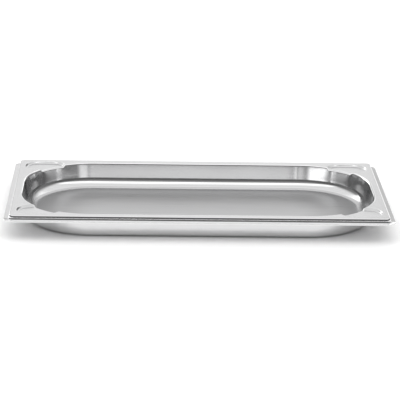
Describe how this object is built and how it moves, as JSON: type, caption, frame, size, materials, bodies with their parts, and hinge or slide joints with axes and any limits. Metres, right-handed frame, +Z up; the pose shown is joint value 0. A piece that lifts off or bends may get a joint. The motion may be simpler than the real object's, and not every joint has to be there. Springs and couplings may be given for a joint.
{
  "type": "shallow food pan",
  "caption": "Shallow rectangular pressed food pan with a flat flange, turned-down skirt, rounded corners and corner pockets.",
  "frame": {"origin": "centre of the underside of the floor, the face the pan stands on", "axes": "+X along the long side, +Y along the short side, +Z up out of the bowl"},
  "size_m": [0.325, 0.176, 0.022],
  "materials": {
    "stainless": "satin, with brighter bends and edges"
  },
  "bodies": {
    "root": {"pan_shell": "stainless"}
  },
  "joints": []
}
